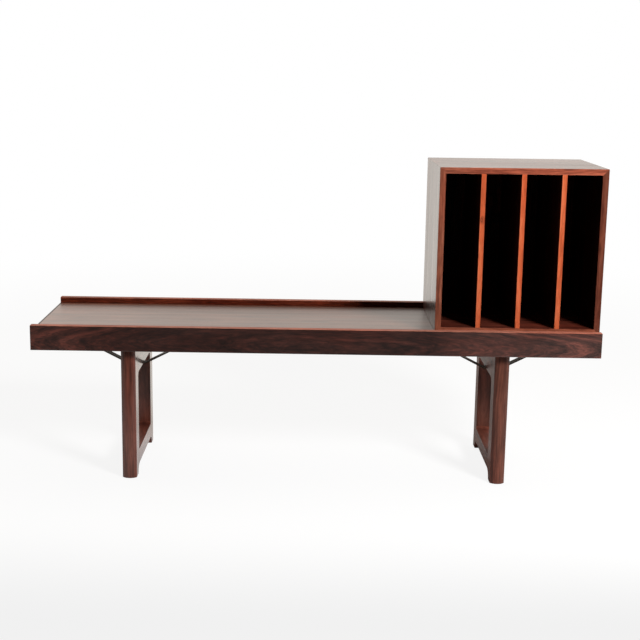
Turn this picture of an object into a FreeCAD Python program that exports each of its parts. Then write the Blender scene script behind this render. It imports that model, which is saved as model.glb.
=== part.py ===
import FreeCAD, Part

import math
import os

import Sketcher

# Telephone bench: a long seat between two raised rails, on two leg frames that are braced by flat metal
# straps, with a loose box of four upright compartments standing on the seat at its right end.
# X runs along the bench, Y from front to back and Z up. The origin is on the floor, under the middle.

SIZES = {
    "bench_length": 1500,
    "bench_depth": 400,
    "bench_height": 429,
    "rail_height": 67,
    "rail_thickness": 21,
    "rail_round": 2,
    "lip_height": 16,
    "seat_thickness": 20,
    "lipping_thickness": 5,
    "tongue_thickness": 8,
    "groove_depth": 8,
    "glue_gap": 0.2,
    "bearer_height": 30,
    "bearer_width": 45,
    "dowel_diameter": 10,
    "rail_dowel_depth": 12,
    "bearer_dowel_depth": 24,
    "bearer_dowel_spacing": 22,
    "leg_inset": 232,
    "leg_spread": 340,
    "leg_thickness": 39,
    "post_depth": 54.5,
    "post_crown": 8.5,
    "foot_depth": 37,
    "foot_round": 2,
    "upper_rail_height": 79,
    "upper_rail_corner": 14,
    "lower_rail_height": 39,
    "lower_rail_corner": 8,
    "floor_gap": 26,
    "post_dowel_depth": 26,
    "leg_rail_dowel_depth": 34,
    "upper_dowel_spacing": 24,
    "lower_dowel_spacing": 19,
    "bolt_diameter": 8,
    "bolt_head_diameter": 13,
    "bolt_head_height": 8,
    "bolt_spacing": 140,
    "bolt_recess": 34,
    "bolt_recess_diameter": 18,
    "bolt_clearance": 0.3,
    "insert_diameter": 12,
    "insert_length": 20,
    "strap_width": 24,
    "strap_thickness": 3,
    "strap_clearance": 5,
    "strap_reach": 155,
    "strap_tab": 34,
    "strap_corner": 6,
    "strap_screw_spacing": 18,
    "screw_diameter": 4,
    "screw_length": 20,
    "screw_head_diameter": 8.5,
    "screw_head_height": 2.4,
    "box_width": 437,
    "box_height": 440,
    "box_depth": 327,
    "box_board": 16,
    "box_back_gap": 2,
    "box_overhang": 4,
    "back_thickness": 6,
    "back_rebate": 8,
    "divider_thickness": 13,
    "dado_depth": 5,
    "dado_stop": 12,
    "spline_thickness": 3,
    "spline_width": 12,
    "spline_stop": 10,
}

DOWN_FACING = FreeCAD.Rotation(FreeCAD.Vector(1, 0, 0), 180)
TOWARDS_BACK = FreeCAD.Rotation(FreeCAD.Vector(1, 0, 0), -90)
HALF_TURN = FreeCAD.Rotation(FreeCAD.Vector(0, 0, 1), 180)
UPRIGHT = FreeCAD.Rotation()
Z_AXIS = FreeCAD.Vector(0, 0, 1)

doc = FreeCAD.newDocument("telephone_bench")


class Size:
    """A length with the sheet expression that gives it, so that whatever uses it stays bound to the sheet."""

    def __init__(self, value, text):
        self.value = float(value)
        self.text = text

    def __add__(self, other):
        other = as_size(other)
        return Size(self.value + other.value, f"({self.text} + {other.text})")

    def __sub__(self, other):
        other = as_size(other)
        return Size(self.value - other.value, f"({self.text} - {other.text})")

    def __mul__(self, other):
        other = as_size(other)
        return Size(self.value * other.value, f"({self.text} * {other.text})")

    def __truediv__(self, other):
        other = as_size(other)
        return Size(self.value / other.value, f"({self.text} / {other.text})")

    def __neg__(self):
        return Size(-self.value, f"(0 - {self.text})")

    def root(self):
        return Size(math.sqrt(self.value), f"sqrt({self.text})")


def as_size(number):
    if isinstance(number, Size):
        return number
    return Size(number, repr(number))


ZERO = as_size(0)


def make_sheet():
    """Put every driving size in the sheet, one row each, and return the sizes by name."""
    sheet = doc.addObject("Spreadsheet::Sheet", "Sizes")
    for row, (name, value) in enumerate(SIZES.items(), 1):
        sheet.set(f"A{row}", name)
        sheet.set(f"B{row}", str(value))
        sheet.setAlias(f"B{row}", name)
    doc.recompute()
    return {name: Size(value, f"Sizes.{name}") for name, value in SIZES.items()}


size = make_sheet()

# Levels and faces that several pieces share
half_length = size["bench_length"] / 2
half_depth = size["bench_depth"] / 2
seat_top = size["bench_height"] - size["lip_height"]
seat_bottom = seat_top - size["seat_thickness"]
rail_inner = half_depth - size["rail_thickness"]
tongue_middle = seat_top - size["seat_thickness"] / 2
leg_top = seat_bottom - size["bearer_height"]
leg_x = half_length - size["leg_inset"] - size["leg_thickness"] / 2
leg_half = size["leg_thickness"] / 2
post_outer = size["leg_spread"] / 2
post_inner = post_outer - size["post_depth"]
foot_inner = post_outer - size["foot_depth"]
upper_rail_bottom = leg_top - size["upper_rail_height"]
lower_rail_top = size["floor_gap"] + size["lower_rail_height"]
dowel_radius = size["dowel_diameter"] / 2
strap_tab_x = leg_half + size["strap_clearance"] + size["strap_reach"] + size["strap_tab"] / 2
screw_radius = size["screw_diameter"] / 2
screw_grip = size["screw_length"] - size["strap_thickness"]
bolt_radius = size["bolt_diameter"] / 2
insert_radius = size["insert_diameter"] / 2
box_x = half_length + size["box_overhang"] - size["box_width"] / 2
box_y = rail_inner - size["box_back_gap"] - size["box_depth"] / 2


def place(piece, x=ZERO, y=ZERO, z=ZERO, rotation=UPRIGHT):
    """Stand a piece at a point that follows the sheet."""
    piece.Placement = FreeCAD.Placement(FreeCAD.Vector(x.value, y.value, z.value), rotation)
    for axis, place_on_axis in (("x", x), ("y", y), ("z", z)):
        if place_on_axis is not ZERO:
            piece.setExpression(f"Placement.Base.{axis}", place_on_axis.text)
    return piece


def new_body(name):
    body = doc.addObject("PartDesign::Body", name)
    body.Label = name
    return body


def new_sketch(body, role, lift=ZERO):
    """Attach a sketch to one of the body's own planes, moved along that plane's normal by lift."""
    plane = next(item for item in body.Origin.OriginFeatures if item.Role == role)
    sketch = body.newObject("Sketcher::SketchObject", f"{body.Name}_sketch")
    sketch.AttachmentSupport = (plane, [""])
    sketch.MapMode = "FlatFace"
    if lift is not ZERO:
        sketch.AttachmentOffset = FreeCAD.Placement(Z_AXIS * lift.value, UPRIGHT)
        sketch.setExpression("AttachmentOffset.Base.z", lift.text)
    return sketch


def pin_point(sketch, edge, end, corner):
    """Tie one end, or the centre, of an edge to its corner's distances from the sketch's origin."""
    for kind, axis, distance in (("DistanceX", -2, corner[0]), ("DistanceY", -1, corner[1])):
        if distance is ZERO:
            sketch.addConstraint(Sketcher.Constraint("PointOnObject", edge, end, axis))
        else:
            rule = sketch.addConstraint(Sketcher.Constraint(kind, -1, 1, edge, end, distance.value))
            sketch.setExpression(f"Constraints[{rule}]", distance.text)


def arc_between(start, end, radius, left):
    """A circular edge from start to end. It bulges to the left of that direction, or else to the right."""
    chord = end - start
    side = Z_AXIS.cross(chord).normalize() * (1 if left else -1)
    reach = math.sqrt(radius * radius - chord.Length * chord.Length / 4)
    centre = (start + end) / 2 - side * reach
    first, last = (end, start) if left else (start, end)
    first_angle = math.atan2(first.y - centre.y, first.x - centre.x)
    last_angle = math.atan2(last.y - centre.y, last.x - centre.x)
    return Part.ArcOfCircle(Part.Circle(centre, Z_AXIS, radius), first_angle, last_angle)


def draw_outline(sketch, corners, arcs=None):
    """Draw a closed outline through the corners. arcs gives an edge's number its radius and its side."""
    arcs = arcs or {}
    points = [FreeCAD.Vector(x.value, y.value, 0) for x, y in corners]
    ends = []
    for number, start in enumerate(points):
        end = points[(number + 1) % len(points)]
        if number in arcs:
            radius, left = arcs[number]
            edge = sketch.addGeometry(arc_between(start, end, radius.value, left), False)
            ends.append((edge, 2, 1) if left else (edge, 1, 2))
        else:
            edge = sketch.addGeometry(Part.LineSegment(start, end), False)
            ends.append((edge, 1, 2))
    for number, (edge, start_end, last_end) in enumerate(ends):
        next_edge, next_start, unused_end = ends[(number + 1) % len(ends)]
        sketch.addConstraint(Sketcher.Constraint("Coincident", edge, last_end, next_edge, next_start))
        pin_point(sketch, edge, start_end, corners[number])
    for number, (radius, unused_side) in arcs.items():
        rule = sketch.addConstraint(Sketcher.Constraint("Radius", ends[number][0], radius.value))
        sketch.setExpression(f"Constraints[{rule}]", radius.text)


def draw_rectangle(sketch, low, high):
    draw_outline(sketch, [low, (high[0], low[1]), high, (low[0], high[1])])


def draw_circles(sketch, centres, radius):
    for centre in centres:
        middle = FreeCAD.Vector(centre[0].value, centre[1].value, 0)
        edge = sketch.addGeometry(Part.Circle(middle, Z_AXIS, radius.value), False)
        pin_point(sketch, edge, 3, centre)
        rule = sketch.addConstraint(Sketcher.Constraint("Radius", edge, radius.value))
        sketch.setExpression(f"Constraints[{rule}]", radius.text)


def pad(body, sketch, length, centred=False):
    feature = body.newObject("PartDesign::Pad", f"{body.Name}_pad")
    feature.Profile = sketch
    feature.SideType = "Symmetric" if centred else "One side"
    feature.Length = length.value
    feature.setExpression("Length", length.text)
    doc.recompute()
    return feature


def pocket(body, sketch, length, centred=False, along_normal=False):
    """Cut the sketch out of the body, and stop if that takes nothing away."""
    volume_before = body.Shape.Volume
    feature = body.newObject("PartDesign::Pocket", f"{body.Name}_pocket")
    feature.Profile = sketch
    feature.SideType = "Symmetric" if centred else "One side"
    feature.Reversed = along_normal
    feature.Length = length.value
    feature.setExpression("Length", length.text)
    doc.recompute()
    if not body.Shape.Volume < volume_before:
        raise RuntimeError(f"a pocket cuts nothing out of {body.Label}")
    return feature


def round_edges(body, radius, is_chosen):
    """Round the body's edges whose lowest and highest corners pass the test."""
    base = body.Tip
    names = []
    for number, edge in enumerate(base.Shape.Edges, 1):
        if is_chosen(edge.BoundBox):
            names.append(f"Edge{number}")
    fillet = body.newObject("PartDesign::Fillet", f"{body.Name}_round")
    fillet.Base = (base, names)
    fillet.Radius = radius.value
    fillet.setExpression("Radius", radius.text)
    doc.recompute()


def cylinder(name, radius, length, x, y, z, rotation=UPRIGHT):
    piece = doc.addObject("Part::Cylinder", name)
    piece.setExpression("Radius", radius.text)
    piece.setExpression("Height", length.text)
    return place(piece, x, y, z, rotation)


def compound(name, pieces):
    group = doc.addObject("Part::Compound", name)
    group.Label = name
    group.Links = pieces
    return group


def block(name, low, sides):
    piece = doc.addObject("Part::Box", name)
    piece.Label = name
    for side, length in zip(("Length", "Width", "Height"), sides):
        piece.setExpression(side, length.text)
    return place(piece, *low)


def both_ways(distance):
    return (-distance, distance)


def seat_section(body):
    """The seat's section across its width, with a tongue along each long edge."""
    tongue_tip = rail_inner + size["groove_depth"] - size["glue_gap"]
    tongue_low = tongue_middle - size["tongue_thickness"] / 2
    tongue_high = tongue_middle + size["tongue_thickness"] / 2
    right_side = [
        (rail_inner, seat_bottom),
        (rail_inner, tongue_low),
        (tongue_tip, tongue_low),
        (tongue_tip, tongue_high),
        (rail_inner, tongue_high),
        (rail_inner, seat_top),
    ]
    left_side = [(-y, z) for y, z in reversed(right_side)]
    sketch = new_sketch(body, "YZ_Plane")
    draw_outline(sketch, right_side + left_side)
    return sketch


def make_seat():
    panel = new_body("seat_panel")
    pad(panel, seat_section(panel), size["bench_length"] - size["lipping_thickness"] * 2, centred=True)
    pieces = [panel]
    middle = half_length - size["lipping_thickness"] / 2
    for side, x in (("left", -middle), ("right", middle)):
        lipping = new_body(f"seat_lipping_{side}")
        pad(lipping, seat_section(lipping), size["lipping_thickness"], centred=True)
        pieces.append(place(lipping, x))
    return pieces


def bearer_places():
    """Each bearer's name and its middle along the bench."""
    places = []
    for side, middle in (("left", -leg_x), ("right", leg_x)):
        outward = -strap_tab_x if side == "left" else strap_tab_x
        places.append((f"{side}_end_bearer", middle + outward))
        places.append((f"{side}_leg_bearer", middle))
        places.append((f"{side}_inner_bearer", middle - outward))
    return places


def bearer_dowel_places():
    """The dowels' places along the bench, two for each end of each bearer."""
    spread = size["bearer_dowel_spacing"] / 2
    return [middle + offset for unused_name, middle in bearer_places() for offset in both_ways(spread)]


bearer_middle = seat_bottom - size["bearer_height"] / 2


def make_rail(name, rotation):
    """A front or back rail: a board with a groove for the seat's tongue and blind holes for the dowels."""
    rail = new_body(name)
    bottom = size["bench_height"] - size["rail_height"]
    groove_low = tongue_middle - size["tongue_thickness"] / 2
    groove_high = tongue_middle + size["tongue_thickness"] / 2
    groove_floor = rail_inner + size["groove_depth"]
    sketch = new_sketch(rail, "YZ_Plane")
    corners = [
        (-half_depth, bottom),
        (-rail_inner, bottom),
        (-rail_inner, groove_low),
        (-groove_floor, groove_low),
        (-groove_floor, groove_high),
        (-rail_inner, groove_high),
        (-rail_inner, size["bench_height"]),
        (-half_depth, size["bench_height"]),
    ]
    draw_outline(sketch, corners)
    pad(rail, sketch, size["bench_length"], centred=True)
    holes = new_sketch(rail, "XZ_Plane", rail_inner)
    draw_circles(holes, [(x, bearer_middle) for x in bearer_dowel_places()], dowel_radius)
    pocket(rail, holes, size["rail_dowel_depth"], along_normal=True)

    def is_long_arris(box):
        at_top = abs(box.ZMin - size["bench_height"].value) < 0.01
        at_bottom = abs(box.ZMax - bottom.value) < 0.01
        return box.XLength > size["bench_length"].value / 2 and (at_top or at_bottom)

    round_edges(rail, size["rail_round"], is_long_arris)
    return place(rail, rotation=rotation)


def make_bearer(name, middle, hole_radius, hole_depth, hole_places):
    """A cross bearer under the seat, with dowel holes in its ends and upright holes from below."""
    low = (middle - size["bearer_width"] / 2, -rail_inner, leg_top)
    sides = (size["bearer_width"], rail_inner * 2, size["bearer_height"])
    blank = block(f"{name}_blank", low, sides)
    tools = []
    for offset in both_ways(size["bearer_dowel_spacing"] / 2):
        for start in (-rail_inner, rail_inner - size["bearer_dowel_depth"]):
            tools.append(cylinder(f"{name}_dowel_hole", dowel_radius, size["bearer_dowel_depth"],
                                  middle + offset, start, bearer_middle, TOWARDS_BACK))
    for x, y in hole_places:
        tools.append(cylinder(f"{name}_hole", hole_radius, hole_depth, x, y, leg_top))
    bearer = doc.addObject("Part::Cut", name)
    bearer.Label = name
    bearer.Base = blank
    bearer.Tool = compound(f"{name}_holes", tools)
    return bearer


def make_bearers():
    bearers = []
    for name, middle in bearer_places():
        if "leg" in name:
            spots = [(middle, y) for y in both_ways(size["bolt_spacing"] / 2)]
            bearers.append(make_bearer(name, middle, insert_radius, size["insert_length"], spots))
        else:
            spots = [(middle + offset, ZERO) for offset in both_ways(size["strap_screw_spacing"] / 2)]
            bearers.append(make_bearer(name, middle, screw_radius, screw_grip, spots))
    return bearers


def make_bearer_dowels():
    """The dowels between the bearers and the two rails, as one group."""
    length = size["bearer_dowel_depth"] + size["rail_dowel_depth"]
    starts = (-rail_inner - size["rail_dowel_depth"], rail_inner - size["bearer_dowel_depth"])
    pins = []
    for x in bearer_dowel_places():
        for start in starts:
            pins.append(cylinder("bearer_dowel", dowel_radius, length, x, start, bearer_middle, TOWARDS_BACK))
    return compound("bearer_dowels", pins)


def leg_dowel_levels():
    """The heights of the dowels in the upper rail's ends and in the lower rail's ends."""
    upper_middle = leg_top - size["upper_rail_height"] / 2
    lower_middle = lower_rail_top - size["lower_rail_height"] / 2
    upper = [upper_middle + offset for offset in (*both_ways(size["upper_dowel_spacing"]), ZERO)]
    lower = [lower_middle + offset for offset in both_ways(size["lower_dowel_spacing"] / 2)]
    return upper, lower


def cut_foot_arch(body, middle):
    """Take away the quarter round that joins the lower rail's underside to the foot."""
    sketch = new_sketch(body, "YZ_Plane")
    draw_circles(sketch, [(middle, ZERO)], size["floor_gap"])
    pocket(body, sketch, size["leg_thickness"] * 2, centred=True)


def make_post(name, x, rotation):
    """A post with a crowned outer face, flat sides and a foot that the floor arch cuts back."""
    post = new_body(name)
    crown_start = size["post_crown"] - post_outer
    chord = size["leg_thickness"]
    crown_radius = (chord * chord / 4 + size["post_crown"] * size["post_crown"]) / (size["post_crown"] * 2)
    sketch = new_sketch(post, "XY_Plane")
    corners = [
        (-leg_half, crown_start),
        (leg_half, crown_start),
        (leg_half, -post_inner),
        (-leg_half, -post_inner),
    ]
    draw_outline(sketch, corners, {0: (crown_radius, False)})
    pad(post, sketch, leg_top)

    def is_outer_foot_edge(box):
        return box.ZMax < 0.01 and box.YMin < -post_inner.value - 0.01

    round_edges(post, size["foot_round"], is_outer_foot_edge)
    cut_foot_arch(post, size["floor_gap"] - foot_inner)
    upper, lower = leg_dowel_levels()
    holes = new_sketch(post, "XZ_Plane", post_inner)
    draw_circles(holes, [(ZERO, level) for level in upper + lower], dowel_radius)
    pocket(post, holes, size["post_dowel_depth"], along_normal=True)
    return place(post, x, rotation=rotation)


def drill_rail_ends(rail, levels):
    """Blind dowel holes in both ends of a leg frame's rail."""
    for lift, along_normal in ((post_inner, False), (-post_inner, True)):
        holes = new_sketch(rail, "XZ_Plane", lift)
        draw_circles(holes, [(ZERO, level) for level in levels], dowel_radius)
        pocket(rail, holes, size["leg_rail_dowel_depth"], along_normal=along_normal)


def drill_from_below(rail, spots, radius, depth):
    """Holes that go up from the upper rail's underside."""
    holes = new_sketch(rail, "XY_Plane", upper_rail_bottom)
    draw_circles(holes, spots, radius)
    pocket(rail, holes, depth, along_normal=True)


def make_upper_rail(name, x):
    """The frame's top rail, whose lower corners curve down into the posts."""
    rail = new_body(name)
    corner = size["upper_rail_corner"]
    tip = upper_rail_bottom - corner
    curve_start = post_inner - corner
    sketch = new_sketch(rail, "YZ_Plane")
    corners = [
        (-post_inner, leg_top),
        (-post_inner, tip),
        (-curve_start, upper_rail_bottom),
        (curve_start, upper_rail_bottom),
        (post_inner, tip),
        (post_inner, leg_top),
    ]
    draw_outline(sketch, corners, {1: (corner, True), 3: (corner, True)})
    pad(rail, sketch, size["leg_thickness"], centred=True)
    upper, unused_lower = leg_dowel_levels()
    drill_rail_ends(rail, upper)
    bolt_spots = [(ZERO, y) for y in both_ways(size["bolt_spacing"] / 2)]
    screw_spots = [(offset, ZERO) for offset in both_ways(size["strap_screw_spacing"] / 2)]
    drill_from_below(rail, bolt_spots, bolt_radius + size["bolt_clearance"], size["upper_rail_height"])
    drill_from_below(rail, bolt_spots, size["bolt_recess_diameter"] / 2, size["bolt_recess"])
    drill_from_below(rail, screw_spots, screw_radius, screw_grip)
    return place(rail, x)


def make_lower_rail(name, x):
    """The frame's bottom rail: small corners above, and a low arch to the floor below."""
    rail = new_body(name)
    corner = size["lower_rail_corner"]
    arch_start = foot_inner - size["floor_gap"]
    overlap = post_inner - arch_start
    arch_end = (size["floor_gap"] * size["floor_gap"] - overlap * overlap).root()
    curve_start = post_inner - corner
    sketch = new_sketch(rail, "YZ_Plane")
    corners = [
        (-post_inner, lower_rail_top + corner),
        (-post_inner, arch_end),
        (-arch_start, size["floor_gap"]),
        (arch_start, size["floor_gap"]),
        (post_inner, arch_end),
        (post_inner, lower_rail_top + corner),
        (curve_start, lower_rail_top),
        (-curve_start, lower_rail_top),
    ]
    arcs = {
        1: (size["floor_gap"], True),
        3: (size["floor_gap"], True),
        5: (corner, True),
        7: (corner, True),
    }
    draw_outline(sketch, corners, arcs)
    pad(rail, sketch, size["leg_thickness"], centred=True)
    unused_upper, lower = leg_dowel_levels()
    drill_rail_ends(rail, lower)
    return place(rail, x)


def make_leg_dowels(name, x):
    """The dowels that join one leg frame's rails to its posts, as one group."""
    upper, lower = leg_dowel_levels()
    length = size["post_dowel_depth"] + size["leg_rail_dowel_depth"]
    starts = (-post_inner - size["post_dowel_depth"], post_inner - size["leg_rail_dowel_depth"])
    pins = []
    for level in upper + lower:
        for start in starts:
            pins.append(cylinder("leg_dowel", dowel_radius, length, x, start, level, TOWARDS_BACK))
    return compound(name, pins)


def make_leg_bolts(name, x):
    """Two bolts whose heads sit in the upper rail's recesses and whose tips are in the inserts."""
    head_top = upper_rail_bottom + size["bolt_recess"]
    head_bottom = head_top - size["bolt_head_height"]
    head_radius = size["bolt_head_diameter"] / 2
    shank = leg_top + size["insert_length"] - head_top
    bolts = []
    for y in both_ways(size["bolt_spacing"] / 2):
        head = cylinder("bolt_head", head_radius, size["bolt_head_height"], x, y, head_bottom)
        stem = cylinder("bolt_shank", bolt_radius, shank, x, y, head_top)
        bolt = doc.addObject("Part::MultiFuse", "leg_bolt")
        bolt.Shapes = [head, stem]
        bolts.append(bolt)
    return compound(name, bolts)


def make_bolt_inserts(name, x):
    """The threaded sleeves in the leg bearer that the bolts turn into."""
    sleeves = []
    for y in both_ways(size["bolt_spacing"] / 2):
        sleeve = doc.addObject("Part::Cut", "bolt_insert")
        sleeve.Base = cylinder("insert_body", insert_radius, size["insert_length"], x, y, leg_top)
        sleeve.Tool = cylinder("insert_bore", bolt_radius, size["insert_length"], x, y, leg_top)
        sleeves.append(sleeve)
    return compound(name, sleeves)


def strap_screw_places():
    """Each strap screw's place along the strap and the height of the wood that it enters."""
    places = []
    for offset in both_ways(size["strap_screw_spacing"] / 2):
        places.append((offset, upper_rail_bottom))
        for tab_x in both_ways(strap_tab_x):
            places.append((tab_x + offset, leg_top))
    return places


def make_strap(name, x):
    """A flat metal strap: level under the upper rail, then up to a level tab under a bearer each side."""
    strap = new_body(name)
    thickness = size["strap_thickness"]
    rise = leg_top - upper_rail_bottom
    run = size["strap_reach"]
    slope_length = (rise * rise + run * run).root()
    bend_shift = thickness * (slope_length - run) / rise
    low_bend = leg_half + size["strap_clearance"]
    high_bend = low_bend + run
    tip = high_bend + size["strap_tab"]
    upper_side = [
        (low_bend, upper_rail_bottom),
        (high_bend, leg_top),
        (tip, leg_top),
    ]
    lower_side = [
        (tip, leg_top - thickness),
        (high_bend + bend_shift, leg_top - thickness),
        (low_bend + bend_shift, upper_rail_bottom - thickness),
    ]
    right_side = upper_side + lower_side
    left_side = [(-u, v) for u, v in reversed(right_side)]
    sketch = new_sketch(strap, "XZ_Plane")
    draw_outline(sketch, right_side + left_side)
    pad(strap, sketch, size["strap_width"], centred=True)
    holes = new_sketch(strap, "XY_Plane", leg_top)
    draw_circles(holes, [(u, ZERO) for u, unused_level in strap_screw_places()], screw_radius)
    pocket(strap, holes, leg_top - upper_rail_bottom + thickness * 2)

    def is_tab_corner(box):
        upright = box.ZLength > thickness.value / 2 and box.XLength < 0.01 and box.YLength < 0.01
        return upright and abs(abs(box.XMin) - tip.value) < 0.01

    round_edges(strap, size["strap_corner"], is_tab_corner)
    return place(strap, x)


def make_strap_screws(name, x):
    """The screws that hold one strap: a low head under the strap and a shank up into the wood."""
    head_radius = size["screw_head_diameter"] / 2
    screws = []
    for offset, level in strap_screw_places():
        seat = level - size["strap_thickness"]
        head = doc.addObject("Part::Cone", "screw_head")
        head.setExpression("Radius1", head_radius.text)
        head.setExpression("Radius2", screw_radius.text)
        head.setExpression("Height", size["screw_head_height"].text)
        place(head, x + offset, ZERO, seat, DOWN_FACING)
        shank = cylinder("screw_shank", screw_radius, size["screw_length"], x + offset, ZERO, seat)
        screw = doc.addObject("Part::MultiFuse", "strap_screw")
        screw.Shapes = [head, shank]
        screws.append(screw)
    return compound(name, screws)


def make_leg(side, x):
    """One leg frame with its dowels, bolts, inserts and strap."""
    return [
        make_post(f"{side}_front_post", x, UPRIGHT),
        make_post(f"{side}_back_post", x, HALF_TURN),
        make_upper_rail(f"{side}_upper_rail", x),
        make_lower_rail(f"{side}_lower_rail", x),
        make_leg_dowels(f"{side}_leg_dowels", x),
        make_leg_bolts(f"{side}_leg_bolts", x),
        make_bolt_inserts(f"{side}_bolt_inserts", x),
        make_strap(f"{side}_brace_strap", x),
        make_strap_screws(f"{side}_strap_screws", x),
    ]


half_box_depth = size["box_depth"] / 2
compartment_pitch = (size["box_width"] - size["box_board"] * 2 + size["divider_thickness"]) / 4
divider_names = ("divider_left", "divider_middle", "divider_right")
divider_offsets = (-compartment_pitch, ZERO, compartment_pitch)
divider_back = half_box_depth - size["back_thickness"]


def spline_corners(middle_x, middle_z, slope, half_width):
    """A slanted rectangle square to the mitre whose inner end lies at slope from the middle."""
    diagonal = math.sqrt(0.5)
    along = half_width * diagonal
    across = size["spline_thickness"] / 2 * diagonal
    return [
        (middle_x - (along + across) * slope, middle_z + across - along),
        (middle_x - (along - across) * slope, middle_z - across - along),
        (middle_x + (along + across) * slope, middle_z + along - across),
        (middle_x + (along - across) * slope, middle_z + along + across),
    ]


def make_box_board(name, length, has_dadoes, spot, rotation):
    """A mitred board, built lying on its outer face: rebate at the back, slots in the mitres, dadoes."""
    board = new_body(name)
    thickness = size["box_board"]
    half = length / 2
    sketch = new_sketch(board, "XZ_Plane")
    corners = [
        (-half, ZERO),
        (half, ZERO),
        (half - thickness, thickness),
        (thickness - half, thickness),
    ]
    draw_outline(sketch, corners)
    pad(board, sketch, size["box_depth"], centred=True)
    rebate = new_sketch(board, "YZ_Plane")
    draw_rectangle(rebate, (divider_back, thickness - size["back_rebate"]), (half_box_depth, thickness))
    pocket(board, rebate, length, centred=True)
    for slope in (-1, 1):
        slot = new_sketch(board, "XZ_Plane", size["spline_stop"] - divider_back)
        middle_x = (half - thickness / 2) * slope
        draw_outline(slot, spline_corners(middle_x, thickness / 2, slope, size["spline_width"] / 2))
        pocket(board, slot, divider_back + half_box_depth - size["spline_stop"] * 2, along_normal=True)
    if has_dadoes:
        for offset in divider_offsets:
            dado = new_sketch(board, "XZ_Plane", -divider_back)
            half_divider = size["divider_thickness"] / 2
            draw_rectangle(dado, (offset - half_divider, thickness - size["dado_depth"]),
                           (offset + half_divider, thickness))
            pocket(board, dado, divider_back + half_box_depth - size["dado_stop"], along_normal=True)
    return place(board, *spot, rotation)


def make_divider(name, offset):
    """An upright divider whose ends sit in the dadoes, notched at the front so that no dado shows."""
    divider = new_body(name)
    front = -half_box_depth
    floor = size["box_board"]
    ceiling = size["box_height"] - size["box_board"]
    tongue_start = front + size["dado_stop"]
    sketch = new_sketch(divider, "YZ_Plane")
    corners = [
        (front, floor),
        (tongue_start, floor),
        (tongue_start, floor - size["dado_depth"]),
        (divider_back, floor - size["dado_depth"]),
        (divider_back, ceiling + size["dado_depth"]),
        (tongue_start, ceiling + size["dado_depth"]),
        (tongue_start, ceiling),
        (front, ceiling),
    ]
    draw_outline(sketch, corners)
    pad(divider, sketch, size["divider_thickness"], centred=True)
    return place(divider, box_x + offset, box_y, seat_top)


def make_box_back():
    """The back panel, which fills the rebate behind the four boards with a small gap around it."""
    edge = size["box_board"] - size["back_rebate"] + size["glue_gap"]
    low = (box_x - size["box_width"] / 2 + edge, box_y + divider_back, seat_top + edge)
    sides = (size["box_width"] - edge * 2, size["back_thickness"], size["box_height"] - edge * 2)
    return block("box_back", low, sides)


def make_corner_splines():
    """The four loose tongues inside the mitred corners, as one group."""
    splines = new_body("box_corner_splines")
    splines.AllowCompound = True
    reach_x = (size["box_width"] - size["box_board"]) / 2
    reach_z = (size["box_height"] - size["box_board"]) / 2
    middle_z = size["box_height"] / 2
    half_width = size["spline_width"] / 2 - size["glue_gap"]
    lift = size["spline_stop"] + size["glue_gap"] - divider_back
    length = divider_back + half_box_depth - size["spline_stop"] * 2 - size["glue_gap"] * 2
    for slope in (-1, 1):
        for level, lean in ((middle_z - reach_z, slope), (middle_z + reach_z, -slope)):
            sketch = new_sketch(splines, "XZ_Plane", lift)
            draw_outline(sketch, spline_corners(reach_x * slope, level, lean, half_width))
            pad(splines, sketch, length)
    return place(splines, box_x, box_y, seat_top)


def make_box():
    """The loose box: four mitred boards, a back panel, three dividers and the splines in its corners."""
    half_width = size["box_width"] / 2
    middle = seat_top + size["box_height"] / 2
    roof = FreeCAD.Rotation(FreeCAD.Vector(0, 1, 0), 180)
    left_wall = FreeCAD.Rotation(FreeCAD.Vector(0, 1, 0), 90)
    right_wall = FreeCAD.Rotation(FreeCAD.Vector(0, 1, 0), -90)
    top = (box_x, box_y, seat_top + size["box_height"])
    width = size["box_width"]
    height = size["box_height"]
    pieces = [
        make_box_board("box_bottom", width, True, (box_x, box_y, seat_top), UPRIGHT),
        make_box_board("box_top", width, True, top, roof),
        make_box_board("box_left_side", height, False, (box_x - half_width, box_y, middle), left_wall),
        make_box_board("box_right_side", height, False, (box_x + half_width, box_y, middle), right_wall),
        make_box_back(),
        make_corner_splines(),
    ]
    for name, offset in zip(divider_names, divider_offsets):
        pieces.append(make_divider(name, offset))
    return pieces


def check(pieces):
    """Stop if any object failed to build or any piece is empty or not valid."""
    doc.recompute()
    for item in doc.Objects:
        if "Invalid" in item.State or "Error" in item.State:
            raise RuntimeError(f"{item.Label} failed to build")
    for piece in pieces:
        if piece.Shape.isNull() or not piece.Shape.isValid():
            raise RuntimeError(f"{piece.Label} has no valid shape")


pieces = make_seat()
pieces.append(make_rail("front_rail", UPRIGHT))
pieces.append(make_rail("back_rail", HALF_TURN))
pieces += make_bearers()
pieces.append(make_bearer_dowels())
pieces += make_leg("left", -leg_x)
pieces += make_leg("right", leg_x)
pieces += make_box()
check(pieces)

os.makedirs("parts", exist_ok=True)
for piece in pieces:
    piece.Shape.exportStep(f"parts/{piece.Label}.step")
    solids = len(piece.Shape.Solids)
    print(f"{piece.Label}: {solids} solid(s), {piece.Shape.Volume / 1000:.1f} cm3")
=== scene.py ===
import math

import bmesh
import bpy
from mathutils import Matrix, Vector


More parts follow.
